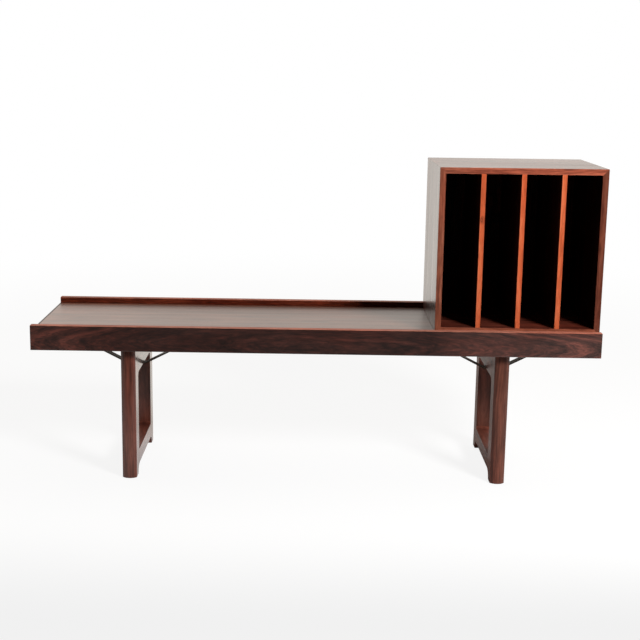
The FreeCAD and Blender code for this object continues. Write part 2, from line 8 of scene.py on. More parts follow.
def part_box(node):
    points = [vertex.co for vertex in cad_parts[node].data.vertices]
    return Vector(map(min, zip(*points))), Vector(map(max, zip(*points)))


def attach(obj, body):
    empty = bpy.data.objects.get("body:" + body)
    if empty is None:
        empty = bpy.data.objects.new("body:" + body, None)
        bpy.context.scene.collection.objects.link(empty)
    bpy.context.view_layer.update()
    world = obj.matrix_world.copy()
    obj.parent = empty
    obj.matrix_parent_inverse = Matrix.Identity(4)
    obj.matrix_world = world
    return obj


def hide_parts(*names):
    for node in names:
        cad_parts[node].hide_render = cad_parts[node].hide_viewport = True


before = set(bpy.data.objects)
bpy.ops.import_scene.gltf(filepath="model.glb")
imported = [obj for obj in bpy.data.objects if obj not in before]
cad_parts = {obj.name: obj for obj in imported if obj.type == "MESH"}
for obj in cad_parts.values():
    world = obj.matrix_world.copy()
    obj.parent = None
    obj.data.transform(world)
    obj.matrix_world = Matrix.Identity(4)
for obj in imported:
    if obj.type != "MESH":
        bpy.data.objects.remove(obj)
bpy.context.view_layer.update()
mm = 0.001
hair = 0.01 * mm  # places nearer than this count as the same
print("frame loaded:", len(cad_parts), "nodes")


# Shader sums

class Wire:
    # an output socket, so that sums on it add the nodes they need
    def __init__(self, shader, socket):
        self.shader = shader
        self.socket = socket

    def other(self, name):
        # another output of the same node
        return Wire(self.shader, self.socket.node.outputs[name])

    def maths(self, operation, first, second=0.0, clamp=False):
        settings = {"operation": operation, "use_clamp": clamp}
        return self.shader.node("ShaderNodeMath", settings, {0: first, 1: second})

    def __add__(self, other):
        return self.maths("ADD", self, other)

    def __sub__(self, other):
        return self.maths("SUBTRACT", self, other)

    def __rsub__(self, other):
        return self.maths("SUBTRACT", other, self)

    def __mul__(self, other):
        return self.maths("MULTIPLY", self, other)

    def __truediv__(self, other):
        return self.maths("DIVIDE", self, other)

    __radd__ = __add__
    __rmul__ = __mul__

    def root(self):
        return self.maths("SQRT", self)

    def clamped(self):
        return self.maths("ADD", self, 0.0, clamp=True)

    def between(self, low, high):
        # 0 below low and 1 above high, with a soft step between
        settings = {"interpolation_type": "SMOOTHSTEP"}
        values = {"Value": self, "From Min": low, "From Max": high}
        return self.shader.node("ShaderNodeMapRange", settings, values)


class Shader:
    def __init__(self, tree):
        self.tree = tree
        self.tree.nodes.clear()

    def node(self, kind, settings=None, inputs=None, out=0):
        made = self.tree.nodes.new(kind)
        for key, value in (settings or {}).items():
            if key == "stops":
                self.setStops(made.color_ramp, value)
            else:
                setattr(made, key, value)
        for key, value in (inputs or {}).items():
            if isinstance(value, Wire):
                self.tree.links.new(value.socket, made.inputs[key])
            else:
                made.inputs[key].default_value = value
        return Wire(self, made.outputs[out]) if len(made.outputs) else made

    def setStops(self, ramp, stops):
        while len(ramp.elements) < len(stops):
            ramp.elements.new(0.5)
        for element, (place, colour) in zip(ramp.elements, stops):
            element.position = place
            element.color = (*colour, 1)

    def mix(self, factor, first, second, blend="MIX"):
        settings = {"data_type": "RGBA", "blend_type": blend}
        colours = [c if isinstance(c, Wire) else (*c, 1) for c in (first, second)]
        return self.node("ShaderNodeMix", settings, {0: factor, 6: colours[0], 7: colours[1]}, out=2)

    def ramp(self, value, stops):
        return self.node("ShaderNodeValToRGB", {"stops": stops}, {0: value})

    def vector(self, x, y, z):
        return self.node("ShaderNodeCombineXYZ", {}, {0: x, 1: y, 2: z})

    def vectorMaths(self, operation, first, second, out=0):
        return self.node("ShaderNodeVectorMath", {"operation": operation}, {0: first, 1: second}, out)

    def noise(self, vector, scale, detail=2.0, roughness=0.5, distortion=0.0):
        # scale is cycles per metre along the grain, across it and through it
        values = {"Vector": self.vectorMaths("MULTIPLY", vector, scale), "Scale": 1.0, "Detail": detail}
        values.update({"Roughness": roughness, "Distortion": distortion})
        return self.node("ShaderNodeTexNoise", {}, values)

    def noiseLine(self, place, detail=2.0, roughness=0.5):
        settings = {"noise_dimensions": "1D"}
        values = {"W": place, "Scale": 1.0, "Detail": detail, "Roughness": roughness}
        return self.node("ShaderNodeTexNoise", settings, values)

    def surface(self, values):
        made = self.node("ShaderNodeBsdfPrincipled", {}, values)
        self.node("ShaderNodeOutputMaterial", {}, {"Surface": made})

    def edges(self, width):
        # where a rounded normal leaves the true one, which is along the edges
        soft = self.node("ShaderNodeBevel", {"samples": 4}, {"Radius": width})
        true = self.node("ShaderNodeNewGeometry", {}, out="Normal")
        return (1 - self.vectorMaths("DOT_PRODUCT", soft, true, out="Value")).between(0.02, 0.22)


def newMaterial(name):
    material = bpy.data.materials.new(name)
    material.use_nodes = True
    return material, Shader(material.node_tree)


# Rosewood under satin lacquer. Every board carries a "grain" attribute: its points in the log that it was
# sawn from, with X along the trunk and the heart of the trunk on the X axis. A "shade" attribute makes a
# board or a part of it lighter or darker.

def rosewood(name, look):
    material, s = newMaterial(name)
    grain = s.node("ShaderNodeAttribute", {"attribute_name": "grain"}, out="Vector")
    along = s.node("ShaderNodeSeparateXYZ", {}, {0: grain}, out="X")
    across = along.other("Y")
    deep = along.other("Z")
    drift = s.noise(grain, look["driftScale"], detail=1.0) - 0.5
    wave = s.noise(grain, look["waveScale"], detail=2.0, distortion=0.3) - 0.5
    growth = (across * across + deep * deep).root() + drift * look["drift"] + wave * look["wave"]
    if look["bow"]:
        growth = growth + along * along * look["bow"]  # the log's taper, for arches towards the ends
    knotted = None
    if "knot" in look:
        knot = look["knot"]
        offset = s.vectorMaths("SUBTRACT", grain, knot["place"])
        stretched = s.vectorMaths("MULTIPLY", offset, knot["shape"])
        ring = s.vectorMaths("LENGTH", stretched, (0, 0, 0), out="Value") / knot["radius"]
        growth = growth + (1 - ring.between(0.3, 3.0)) * knot["push"]
        knotted = ring.between(0.45, 0.75) * (1 - ring.between(0.85, 1.25))
    bands = s.noiseLine(growth * look["bands"], detail=2.0) - 0.5
    figure = s.vector(along, growth, deep)  # noise on this follows the year rings as strokes
    streaks = s.noise(figure, look["streakScale"], detail=3.0, roughness=0.6) - 0.5
    cloud = s.noise(grain, look["cloudScale"], detail=2.5, roughness=0.55) - 0.5
    tone = bands * look["bandDepth"] + streaks * look["streakDepth"] + cloud * look["cloudDepth"] + 0.5
    colour = s.ramp(tone, look["tones"])
    warm = s.noise(grain, look["patchScale"], detail=2.0).between(0.44, 0.62)
    colour = s.mix(warm * look["patches"], colour, look["patchTint"], blend="MULTIPLY")
    lines = s.noise(figure, look["lineScale"], detail=2.0, roughness=0.6).between(0.5, 0.68)
    colour = s.mix(lines * look["lines"], colour, look["dark"])
    pores = s.noise(grain, look["poreScale"], detail=1.0).between(0.6, 0.72)
    colour = s.mix(pores * look["pores"], colour, look["dark"])
    if knotted:
        colour = s.mix(knotted * knot["depth"], colour, knot["colour"])
    shade = s.node("ShaderNodeAttribute", {"attribute_name": "shade"}, out="Color")
    colour = s.mix(look["shadeDepth"], colour, shade, blend="MULTIPLY")
    rub = s.edges(look["wearWidth"])
    colour = s.mix(rub * look["wear"], colour, look["worn"])
    sheen = s.noise(grain, look["sheenScale"], detail=3.0, roughness=0.65) - 0.5
    coat = look["coat"]  # stays a plain number on an even coat
    # where the shade attribute is above 1 the coat weight rises with it: a painted sheen, used on the seat
    if look["paintedSheenCoat"]:
        coat = (shade.other("Fac") - 1) * look["paintedSheenCoat"] + coat
    if look["coatStreak"]:
        coat = sheen * look["coatStreak"] + coat
    relief = streaks * 0.4 - lines * 0.15 - pores * 0.8
    bump = {"Strength": look["bump"], "Distance": look["reliefDepth"], "Height": relief}
    s.surface({
        "Base Color": colour,
        "Roughness": sheen * look["glossStreak"] + pores * 0.1 + rub * 0.05 + look["gloss"],
        "Normal": s.node("ShaderNodeBump", {}, bump),
        "IOR": 1.5,
        "Specular IOR Level": look["shine"],
        "Coat Weight": coat,
        "Coat Roughness": look["coatRoughness"],
        "Coat IOR": look["coatIOR"],
    })
    return material


def tones(dark, middle, light, bright):
    return [(0.32, dark), (0.45, middle), (0.57, light), (0.72, bright)]


railLook = {
    "bow": 0.0, "driftScale": (3.2, 11, 11), "drift": 0.034, "waveScale": (15, 60, 60), "wave": 0.006,
    "bands": 150, "bandDepth": 0.45, "streakScale": (30, 700, 150), "streakDepth": 0.7,
    "cloudScale": (5, 30, 30), "cloudDepth": 0.35,
    "tones": tones((0.015, 0.0090, 0.0080), (0.028, 0.0135, 0.0115), (0.049, 0.0195, 0.0155),
                   (0.086, 0.0300, 0.0230)),
    "patchScale": (3.0, 12, 12), "patches": 0.5, "patchTint": (1.0, 0.72, 0.66),
    "lines": 0.3, "lineScale": (16, 900, 240), "pores": 0.5, "poreScale": (70, 1900, 1900),
    "dark": (0.008, 0.0045, 0.0038), "sheenScale": (1.3, 55, 55), "reliefDepth": 0.2 * mm,
    "shadeDepth": 1.0, "wearWidth": 1.5 * mm, "wear": 0.25, "worn": (0.22, 0.062, 0.034),
    "gloss": 0.42, "glossStreak": 0.1, "bump": 0.1, "shine": 0.3,
    "coat": 0.3, "coatStreak": 0.15, "paintedSheenCoat": 0.0, "coatRoughness": 0.3, "coatIOR": 1.5,
}
frontRailLook = dict(railLook, bow=0.1, drift=0.026)
# The rails' tops take a pale, uncoated copy of the rail wood: a painted highlight along the lips, where the
# rounded arrises catch the softbox.
railTopHighlightLook = dict(
    railLook, drift=0.02, coat=0.0, coatStreak=0.0, gloss=0.5, lines=0.2, shine=0.12, shadeDepth=0.25,
    tones=tones((0.15, 0.052, 0.034), (0.28, 0.100, 0.066), (0.40, 0.150, 0.100), (0.52, 0.21, 0.145)),
)
lipLook = dict(
    railLook, shine=0.2, coat=0.0, coatStreak=0.0,
    tones=tones((0.024, 0.0052, 0.0030), (0.070, 0.0125, 0.0062), (0.130, 0.023, 0.010),
                (0.21, 0.039, 0.018)),
)
seatLook = dict(
    railLook, driftScale=(1.1, 5, 5), drift=0.03, bands=60, bandDepth=0.5, streakScale=(9, 300, 60),
    streakDepth=0.6, cloudDepth=0.3, lines=0.2, patches=0.2, bump=0.04, gloss=0.45, shine=0.5,
    coat=0.84, coatStreak=0.9, paintedSheenCoat=0.27, coatRoughness=0.36, coatIOR=1.86,
    tones=tones((0.045, 0.0180, 0.0110), (0.085, 0.0330, 0.0190), (0.125, 0.0480, 0.0270),
                (0.18, 0.070, 0.040)),
)
legLook = dict(
    railLook, driftScale=(2.4, 12, 12), drift=0.02, waveScale=(9, 60, 60), bands=90, bandDepth=0.35,
    streakScale=(14, 300, 80), streakDepth=0.5, cloudScale=(7, 50, 50), cloudDepth=0.65, gloss=0.4,
    bump=0.05, coat=0.7, coatRoughness=0.26, coatIOR=1.5, lines=0.25, shine=0.12,
    tones=tones((0.050, 0.0155, 0.0105), (0.096, 0.0300, 0.0195), (0.140, 0.0430, 0.0275),
                (0.20, 0.062, 0.041)),
)
# The left leg's broad sides take a copy with a full, sharp coat, so that they mirror the bright surround as
# if lit from the right: a lit copy of the leg wood.
leftLegSideLitLook = dict(legLook, coat=1.0, coatStreak=0.4, coatRoughness=0.13, coatIOR=1.55)
# The right leg takes a matte, slightly darker copy that mirrors almost nothing: painted shade.
rightLegShadedLook = dict(
    legLook, coat=0.1, coatStreak=0.05, shine=0.12,
    tones=tones((0.046, 0.0165, 0.0115), (0.086, 0.0300, 0.0205), (0.124, 0.0425, 0.0280),
                (0.175, 0.060, 0.041)),
)
boxLook = dict(
    railLook, driftScale=(2.0, 7, 7), drift=0.03, gloss=0.38, bump=0.05, coat=0.72, coatStreak=1.3,
    coatRoughness=0.2, coatIOR=1.5, shine=0.35,
    tones=tones((0.016, 0.0060, 0.0042), (0.048, 0.0150, 0.0100), (0.100, 0.0290, 0.0180),
                (0.18, 0.052, 0.030)),
)
boxFloorLook = dict(
    boxLook, coat=0.2, coatStreak=0.1, shine=0.3,
    tones=tones((0.034, 0.0085, 0.0055), (0.085, 0.0190, 0.0115), (0.140, 0.032, 0.019),
                (0.21, 0.050, 0.029)),
)
# The box's inner faces take a near-black copy of the box wood: painted shade inside the compartments.
shadedInsideLook = dict(
    boxLook, coat=0.0, coatStreak=0.0, gloss=0.5, shine=0.15, wear=0.0,
    tones=tones((0.0050, 0.0020, 0.0014), (0.0200, 0.0044, 0.0026), (0.0650, 0.0110, 0.0052),
                (0.150, 0.0250, 0.0110)),
)
boxEdgeLook = dict(
    railLook, drift=0.01, wave=0.004, streakScale=(22, 520, 200), cloudDepth=0.4, coat=0.2, coatStreak=0.1,
    gloss=0.4, shine=0.3, lines=0.3, wear=0.12,
    tones=tones((0.16, 0.043, 0.025), (0.29, 0.081, 0.045), (0.39, 0.117, 0.065), (0.50, 0.165, 0.096)),
)
dividerEdgeLook = dict(
    boxEdgeLook, bandDepth=0.6, streakDepth=0.7, lines=0.2,
    tones=tones((0.28, 0.051, 0.019), (0.41, 0.076, 0.027), (0.48, 0.094, 0.034), (0.56, 0.13, 0.052)),
)
lippingLook = dict(
    seatLook, drift=0.01, coat=0.3, coatStreak=0.1, coatIOR=1.5, shine=0.3,
    tones=tones((0.012, 0.0055, 0.0040), (0.024, 0.0095, 0.0065), (0.040, 0.0150, 0.0100),
                (0.07, 0.025, 0.016)),
)


def plainWood(name, look):
    # pale wood without a grain attribute, with its grain along one axis
    material, s = newMaterial(name)
    place = s.node("ShaderNodeTexCoord", {}, out="Object")
    rings = s.noise(place, look["rings"], detail=3.0, roughness=0.6)
    flecks = s.noise(place, look["flecks"], detail=1.0).between(0.62, 0.72)
    colour = s.ramp(rings, look["tones"])
    colour = s.mix(flecks * look["fleckDepth"], colour, look["fleckColour"])
    bump = {"Strength": 0.2, "Distance": 0.2 * mm, "Height": rings}
    s.surface({
        "Base Color": colour,
        "Roughness": rings * 0.2 + 0.45,
        "Normal": s.node("ShaderNodeBump", {}, bump),
        "Specular IOR Level": 0.3,
    })
    return material


bearerLook = {
    "rings": (90, 5, 90), "flecks": (700, 40, 700), "fleckDepth": 0.5, "fleckColour": (0.16, 0.095, 0.050),
    "tones": [(0.3, (0.22, 0.13, 0.070)), (0.5, (0.32, 0.20, 0.11)), (0.7, (0.42, 0.28, 0.16))],
}
dowelLook = {
    "rings": (60, 60, 60), "flecks": (300, 300, 300), "fleckDepth": 0.3, "fleckColour": (0.40, 0.25, 0.13),
    "tones": [(0.3, (0.46, 0.30, 0.17)), (0.5, (0.55, 0.38, 0.22)), (0.7, (0.64, 0.47, 0.30))],
}


def metal(name, look):
    material, s = newMaterial(name)
    place = s.node("ShaderNodeTexCoord", {}, out="Object")
    mottle = s.noise(place, look["mottle"], detail=3.0, roughness=0.6)
    scratches = s.noise(place, look["scratches"], detail=2.0)
    rub = s.edges(look["wearWidth"])
    colour = s.ramp(mottle, look["tones"])
    colour = s.mix(rub * look["wear"], colour, look["worn"])
    bump = {"Strength": look["bump"], "Distance": 0.1 * mm, "Height": scratches + mottle}
    s.surface({
        "Base Color": colour,
        "Metallic": look["metallic"],
        "Roughness": mottle * 0.2 + scratches * 0.15 - rub * 0.1 + look["roughness"],
        "Normal": s.node("ShaderNodeBump", {}, bump),
    })
    return material


strapLook = {
    "mottle": (60, 60, 60), "scratches": (40, 900, 900), "wearWidth": 0.6 * mm, "wear": 0.5, "bump": 0.15,
    "tones": [(0.3, (0.022, 0.016, 0.012)), (0.5, (0.045, 0.031, 0.022)), (0.7, (0.080, 0.054, 0.036))],
    "worn": (0.30, 0.20, 0.12), "metallic": 0.8, "roughness": 0.28,
}
screwLook = dict(
    strapLook, mottle=(250, 250, 250), wearWidth=0.3 * mm, roughness=0.2,
    tones=[(0.3, (0.20, 0.13, 0.06)), (0.5, (0.35, 0.24, 0.12)), (0.7, (0.48, 0.35, 0.19))],
    worn=(0.62, 0.48, 0.28), metallic=1.0,
)
boltLook = dict(
    screwLook, tones=[(0.3, (0.34, 0.34, 0.35)), (0.5, (0.45, 0.45, 0.46)), (0.7, (0.58, 0.58, 0.58))],
    worn=(0.7, 0.7, 0.7),
)
insertLook = dict(
    screwLook, tones=[(0.3, (0.38, 0.27, 0.12)), (0.5, (0.50, 0.38, 0.18)), (0.7, (0.62, 0.49, 0.26))],
)

frontRailWood = rosewood("frontRailRosewood", frontRailLook)
railWood = rosewood("railRosewood", railLook)
railTopHighlightWood = rosewood("railTopRosewood", railTopHighlightLook)
lipWood = rosewood("lipRosewood", lipLook)
seatWood = rosewood("seatRosewood", seatLook)
lippingWood = rosewood("lippingRosewood", lippingLook)
# lit and shaded copies of one leg wood stand in for the light falling from the right
rightLegShadedWood = rosewood("rightLegShadedRosewood", rightLegShadedLook)
legWoods = {
    "left": [rosewood("leftLegRosewood", legLook), rosewood("leftLegSideLitRosewood", leftLegSideLitLook)],
    "right": [rightLegShadedWood, rightLegShadedWood],
}
boxWood = rosewood("boxRosewood", boxLook)
boxFloorWood = rosewood("boxFloorRosewood", boxFloorLook)
shadedInsideWood = rosewood("insideShadedRosewood", shadedInsideLook)
boxEdgeWood = rosewood("boxEdgeRosewood", boxEdgeLook)
bearerWood = plainWood("bearerHardwood", bearerLook)
dowelWood = plainWood("dowelBeech", dowelLook)
strapMetal = metal("strapBronze", strapLook)
screwMetal = metal("screwBrass", screwLook)
boltMetal = metal("boltZinc", boltLook)
insertMetal = metal("insertBrass", insertLook)
print("materials made:", len(bpy.data.materials))


# Mesh helpers

def rounded(corners, steps=5):
    # an outline through (u, v, radius) corners, each replaced by an arc of its radius
    points = []
    count = len(corners)
    for number, (u, v, radius) in enumerate(corners):
        here = Vector((u, v))
        if radius <= 0:
            points.append(here)
            continue
        before = Vector(corners[number - 1][:2]) - here
        after = Vector(corners[(number + 1) % count][:2]) - here
        half = before.angle(after) / 2
        inward = (before.normalized() + after.normalized()).normalized()
        middle = here + inward * (radius / math.sin(half))
        start = here + before.normalized() * (radius / math.tan(half)) - middle
        turn = start.angle_signed(here + after.normalized() * (radius / math.tan(half)) - middle)
        for step in range(steps + 1):
            points.append(middle + Matrix.Rotation(-turn * step / steps, 2) @ start)
    return points


def loft(rings):
    # a closed skin over rings of equal counts, with a face at each end
    made = bmesh.new()
    rows = [[made.verts.new(point) for point in ring] for ring in rings]
    count = len(rows[0])
    for low, high in zip(rows, rows[1:]):
        for number in range(count):
            following = (number + 1) % count
            made.faces.new((low[number], low[following], high[following], high[number]))
    made.faces.new(list(reversed(rows[0])))
    made.faces.new(rows[-1])
    bmesh.ops.recalc_face_normals(made, faces=made.faces)
    return made


def prism(outline, low, high, steps=1):
    # a (y, z) outline drawn out along X
    levels = [low + (high - low) * step / steps for step in range(steps + 1)]
    return loft([[Vector((level, point[0], point[1])) for point in outline] for level in levels])


def brick(low, high):
    outline = [(low[1], low[2]), (high[1], low[2]), (high[1], high[2]), (low[1], high[2])]
    return prism(outline, low[0], high[0])


def lathe(profile, centre, steps=24):
    # a turned shape from (radius, level) pairs; a radius may be a function of the angle
    rings = []
    for radius, level in profile:
        ring = []
        for step in range(steps):
            angle = math.tau * step / steps
            reach = radius(angle) if callable(radius) else radius
            x, y = reach * math.cos(angle), reach * math.sin(angle)
            ring.append(Vector((centre[0] + x, centre[1] + y, level)))
        rings.append(ring)
    return loft(rings)


def ease(made, radius, chosen=None, sharpest=40, steps=2):
    # soften the outer edges that turn by more than the given angle
    edges = []
    for edge in made.edges:
        if len(edge.link_faces) == 2 and edge.is_convex:
            if edge.calc_face_angle() > math.radians(sharpest) and (chosen is None or chosen(edge)):
                edges.append(edge)
    bmesh.ops.bevel(made, geom=edges, offset=radius, offset_type="OFFSET", segments=steps, profile=0.5,
                    affect="EDGES", clamp_overlap=True)
    return made


def asMesh(made, name="part"):
    mesh = bpy.data.meshes.new(name)
    made.to_mesh(mesh)
    made.free()
    return mesh


def joined(parts):
    # several shapes as one
    whole = bmesh.new()
    for part in parts:
        mesh = asMesh(part)
        whole.from_mesh(mesh)
        bpy.data.meshes.remove(mesh)
    return whole


def cutAway(made, tools):
    # the shape less the tools
    holders = []
    for part in (made, *tools):
        holder = bpy.data.objects.new("part", asMesh(part))
        bpy.context.scene.collection.objects.link(holder)
        holders.append(holder)
    for tool in holders[1:]:
        cut = holders[0].modifiers.new("cut", "BOOLEAN")
        cut.operation = "DIFFERENCE"
        cut.solver = "EXACT"
        cut.object = tool
    bpy.context.view_layer.update()
    left = bmesh.new()
    left.from_object(holders[0], bpy.context.evaluated_depsgraph_get())
    for holder in holders:
        mesh = holder.data
        bpy.data.objects.remove(holder)
        bpy.data.meshes.remove(mesh)
    return left


grainTurns = {
    "X": Matrix.Identity(3),
    "Y": Matrix(((0, 1, 0), (0, 0, 1), (1, 0, 0))),
    "Z": Matrix(((0, 0, 1), (1, 0, 0), (0, 1, 0))),
}


def even(point):
    return 1.0


def addPiece(name, made, body, nodes, materials, grain="X", heart=(0, 0.02, 0.06), roll=0.0,
             shade=even, chooser=None):
    # shade gives each point's lightness, and chooser says which of the materials each face takes
    mesh = asMesh(made, name)
    for material in materials:
        mesh.materials.append(material)
    for face in mesh.polygons:
        face.use_smooth = True
        face.material_index = chooser(face) if chooser else 0
    mesh.set_sharp_from_angle(angle=math.radians(38))
    points = [vertex.co.copy() for vertex in mesh.vertices]
    low = Vector([min(point[axis] for point in points) for axis in range(3)])
    high = Vector([max(point[axis] for point in points) for axis in range(3)])
    turn = Matrix.Rotation(math.radians(roll), 3, "X") @ grainTurns[grain]
    grains = mesh.attributes.new("grain", "FLOAT_VECTOR", "POINT")
    shades = mesh.attributes.new("shade", "FLOAT_VECTOR", "POINT")
    for number, point in enumerate(points):
        grains.data[number].vector = turn @ (point - (low + high) / 2) + Vector(heart)
        shades.data[number].vector = [shade(point)] * 3
    piece = bpy.data.objects.new(name, mesh)
    bpy.context.scene.collection.objects.link(piece)
    evened = piece.modifiers.new("evenNormals", "WEIGHTED_NORMAL")  # keeps broad faces flat
    evened.mode = "FACE_AREA"
    evened.weight = 100
    evened.keep_sharp = True
    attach(piece, body)
    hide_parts(*nodes)


def shadeAlong(stops):
    # a point's lightness by its place along the bench, from (x, lightness) stops
    def shade(point):
        for (start, first), (end, last) in zip(stops, stops[1:]):
            if point.x <= end:
                part = min(max((point.x - start) / (end - start), 0), 1)
                part = part * part * (3 - 2 * part)
                return first + (last - first) * part
        return stops[-1][1]
    return shade


# Rails, with the groove that takes the seat's tongue

seatLow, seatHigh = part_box("seat_panel")
rail = {
    "arris": 2 * mm, "endEase": 0.7 * mm, "grooveDepth": 8 * mm, "tongue": 4 * mm, "steps": 40,
    "frontHeart": (0.0, 0.055, 0.012), "backHeart": (3.1, -0.05, 0.02),
    "frontShade": [(-0.75, 1.9), (-0.52, 1.1), (-0.1, 0.85), (0.3, 0.9), (0.40, 1.6), (0.75, 2.1)],
    "backShade": [(-0.75, 1.0), (0.75, 1.0)],
}


def buildRail(node, name, heart, shade):
    low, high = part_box(node)
    inward = 1 if low.y < 0 else -1  # from the outer face to the seat
    outer = low.y if inward > 0 else high.y
    inner = high.y if inward > 0 else low.y
    middle = (seatLow.z + seatHigh.z) / 2
    floor = inner - inward * rail["grooveDepth"]
    outline = rounded([
        (outer, low.z, rail["arris"]),
        (inner, low.z, rail["arris"]),
        (inner, middle - rail["tongue"], 0),
        (floor, middle - rail["tongue"], 0),
        (floor, middle + rail["tongue"], 0),
        (inner, middle + rail["tongue"], 0),
        (inner, high.z, rail["arris"]),
        (outer, high.z, rail["arris"]),
    ])
    made = ease(prism(outline, low.x, high.x, rail["steps"]), rail["endEase"])

    def whichWood(face):
        if face.center.z < seatHigh.z:
            return 0
        # the tops take the painted highlight wood
        if face.normal.z > 0.6:
            return 1
        return 2 if face.normal.y * inward > 0.3 else 0

    woods = [frontRailWood if inward > 0 else railWood, railTopHighlightWood, lipWood]
    addPiece(name, made, "bench", [node], woods, "X", heart, shade=shadeAlong(shade),
             chooser=whichWood)


buildRail("front_rail", "frontRail", rail["frontHeart"], rail["frontShade"])
buildRail("back_rail", "backRail", rail["backHeart"], rail["backShade"])
print("rails built")

# Seat panel and its end lippings

# The seat's shade stops make its left end lighter and, through the coat weight that follows them, glossier:
# a painted glare that grows towards that end, with the right end a little darker.
seat = {
    "ease": 0.4 * mm, "steps": 30, "heart": (1.0, 0.03, 0.1), "leftHeart": (0.4, 0.0, 0.05),
    "rightHeart": (1.4, 0.0, 0.05), "shade": [(-0.75, 1.6), (-0.25, 1.0), (0.75, 0.95)],
}


def buildSeat(node, name, material, grain, heart):
    low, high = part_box(node)
    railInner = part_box("front_rail")[1].y
    middle = (low.z + high.z) / 2
    side = [
        (-railInner, low.z),
        (-railInner, middle - rail["tongue"]),
        (high.y, middle - rail["tongue"]),
        (high.y, middle + rail["tongue"]),
        (-railInner, middle + rail["tongue"]),
        (-railInner, high.z),
    ]
    outline = side + [(-y, z) for y, z in reversed(side)]
    if "lipping" in node:
        made = ease(prism(outline, low.x, high.x), seat["ease"])
        shade = even
    else:
        made = prism(outline, low.x, high.x, seat["steps"])
        shade = shadeAlong(seat["shade"])
    addPiece(name, made, "bench", [node], [material], grain, heart, shade=shade)


buildSeat("seat_panel", "seatPanel", seatWood, "X", seat["heart"])
buildSeat("seat_lipping_left", "leftSeatLipping", lippingWood, "Y", seat["leftHeart"])
buildSeat("seat_lipping_right", "rightSeatLipping", lippingWood, "Y", seat["rightHeart"])
print("seat built")

# Cross bearers under the seat

bearer = {"ease": 1.2 * mm}


def buildBearer(node, name):
    low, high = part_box(node)

    def runsAcross(edge):
        first, second = (vertex.co for vertex in edge.verts)
        return abs(first.y - second.y) > hair

    made = ease(brick(low, high), bearer["ease"], runsAcross)
    addPiece(name, made, "bench", [node], [bearerWood], "Y")


for side in ("left", "right"):
    for spot in ("end", "leg", "inner"):
        buildBearer(f"{side}_{spot}_bearer", f"{side}{spot.capitalize()}Bearer")
print("bearers built")

# Leg frames

leg = {
    "crown": 8.5 * mm, "arris": 3 * mm, "leastArris": 0.3 * mm, "innerArris": 1 * mm, "footRound": 2 * mm,
    "railEase": 1.2 * mm,
    "footDepth": 37 * mm, "upperCorner": 14 * mm, "lowerCorner": 8 * mm, "floorGap": 26 * mm,
    "crownSteps": 14, "archSteps": 8, "postSteps": 5, "footSteps": (0, 0.08, 0.3, 0.6, 1),
    "recessRadius": 9 * mm, "recessDepth": 34 * mm, "recessEase": 0.8 * mm, "recessPast": 2 * mm,
    "boltSpacing": 140 * mm,
}


def broadSide(face):
    # the flat sides of a leg frame take the second wood
    return 1 if abs(face.normal.x) > 0.95 else 0


def crownOutline(width, depth, inset):
    # the post's section, with the crown towards -Y and the origin in the middle of its inner face
    half = width / 2 - inset
    crown = leg["crown"] * half / (width / 2)
    radius = (half * half + crown * crown) / (2 * crown)
    sweep = math.asin(half / radius)
    centre = -depth + inset + radius
    points = []
    for step in range(leg["crownSteps"] + 1):
        angle = sweep * (2 * step / leg["crownSteps"] - 1)
        points.append((radius * math.sin(angle), centre - radius * math.cos(angle), 0))
    arris = max(leg["arris"] - inset, leg["leastArris"])
    points[0] = (*points[0][:2], arris)
    points[-1] = (*points[-1][:2], arris)
    return points, half


def buildPost(node, name, heart, roll):
    low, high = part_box(node)
    outward = -1 if low.y < 0 else 1
    width = high.x - low.x
    depth = high.y - low.y
    centreX = (low.x + high.x) / 2
    inner = high.y if outward < 0 else low.y
    archRadius = leg["floorGap"]
    archCentre = leg["footDepth"] - depth + archRadius  # from the inner face, towards the bench's middle
    archTop = math.sqrt(archRadius ** 2 - archCentre ** 2)
    foot = leg["footRound"]
    levels = [foot * part for part in leg["footSteps"]]
    for start, end, steps in ((foot, archTop, leg["archSteps"]), (archTop, high.z, leg["postSteps"])):
        levels += [start + (end - start) * step / steps for step in range(1, steps + 1)]
    rings = []
    for level in levels:
        inset = foot - math.sqrt(foot * foot - (foot - level) ** 2) if level < foot else 0.0
        back = archCentre - math.sqrt(archRadius ** 2 - level ** 2) if level < archTop else 0.0
        section, half = crownOutline(width, depth, inset)
        inside = [(half, back, leg["innerArris"]), (-half, back, leg["innerArris"])]
        ring = rounded([*section, *inside], steps=3)
        rings.append([Vector((centreX - outward * u, inner - outward * v, level)) for u, v in ring])
    woods = legWoods[node.split("_")[0]]
    addPiece(name, loft(rings), "bench", [node], woods, "Z", heart, roll, chooser=broadSide)


def cornerArc(centre, radius, first, last, steps=8):
    # points on an arc between two angles in degrees
    points = []
    for step in range(steps + 1):
        angle = math.radians(first + (last - first) * step / steps)
        points.append((centre[0] + radius * math.cos(angle), centre[1] + radius * math.sin(angle)))
    return points


def mirrored(points):
    return [(-point[0], point[1]) for point in reversed(points)]


def easeLong(made, low, high, sharpTop=False):
    # ease the rail's edges that run between the posts, but not those in the joints
    def inJoint(point):
        return min(abs(point.y - low.y), abs(point.y - high.y)) < hair

    def runsAcross(edge):
        first, second = (vertex.co for vertex in edge.verts)
        if abs(first.x - second.x) > hair or inJoint(first) and inJoint(second):
            return False
        return not (sharpTop and min(first.z, second.z) > high.z - hair)

    return ease(made, leg["railEase"], runsAcross)


